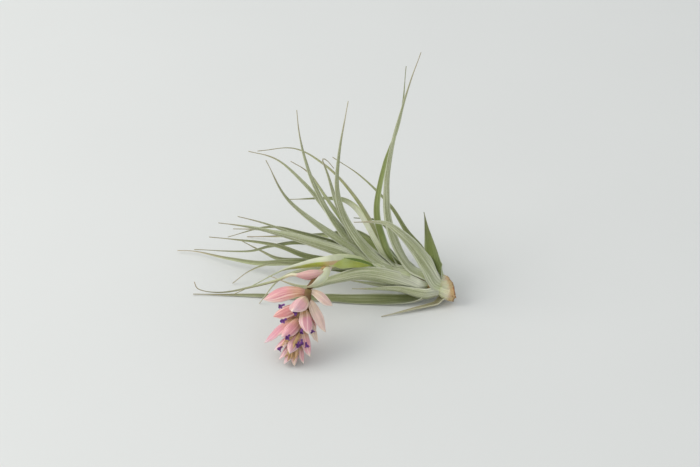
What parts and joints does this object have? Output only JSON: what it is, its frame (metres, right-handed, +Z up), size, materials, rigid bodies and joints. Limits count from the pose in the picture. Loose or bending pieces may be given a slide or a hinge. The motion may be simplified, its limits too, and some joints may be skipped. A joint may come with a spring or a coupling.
{
  "type": "air plant",
  "caption": "Bare-rooted silvery air plant lying on its side, with narrow channelled leaves and a nodding pink flower head.",
  "frame": {"origin": "on the surface that the plant lies on, below the middle of its bounding box", "axes": "+Z up; +X towards the cut end of the stem, along the plant's length; -Y towards the side on which the flower head hangs"},
  "size_m": [0.1577, 0.1335, 0.1244],
  "materials": {
    "leaf": "matt silvery grey-green leaf with fine scales",
    "stem": "dull woody cut stem",
    "sheath": "dry papery cream and rust sheath",
    "stalk": "satin pale green stalk",
    "stalk_bract": "satin pale green bract, blushed pink",
    "flower_bract": "satin salmon-pink bract",
    "petal": "soft violet petal"
  },
  "bodies": {
    "root": {"stem": "stem", "dry_sheath_1": "sheath", "dry_sheath_2": "sheath", "dry_sheath_3": "sheath", "leaf_01": "leaf", "leaf_02": "leaf", "leaf_03": "leaf", "leaf_04": "leaf", "leaf_05": "leaf", "leaf_06": "leaf", "leaf_07": "leaf", "leaf_08": "leaf", "leaf_09": "leaf", "leaf_10": "leaf", "leaf_11": "leaf", "leaf_12": "leaf", "leaf_13": "leaf", "leaf_14": "leaf", "leaf_15": "leaf", "leaf_16": "leaf", "leaf_17": "leaf", "leaf_18": "leaf", "leaf_19": "leaf", "leaf_20": "leaf", "leaf_21": "leaf", "leaf_22": "leaf", "leaf_23": "leaf", "leaf_24": "leaf", "leaf_25": "leaf", "leaf_26": "leaf", "leaf_27": "leaf", "leaf_28": "leaf", "leaf_29": "leaf", "leaf_30": "leaf", "flower_stalk": "stalk", "stalk_bract_1": "stalk_bract", "stalk_bract_2": "stalk_bract", "stalk_bract_3": "stalk_bract", "stalk_bract_4": "stalk_bract", "flower_head": "flower_bract"}
  },
  "joints": []
}
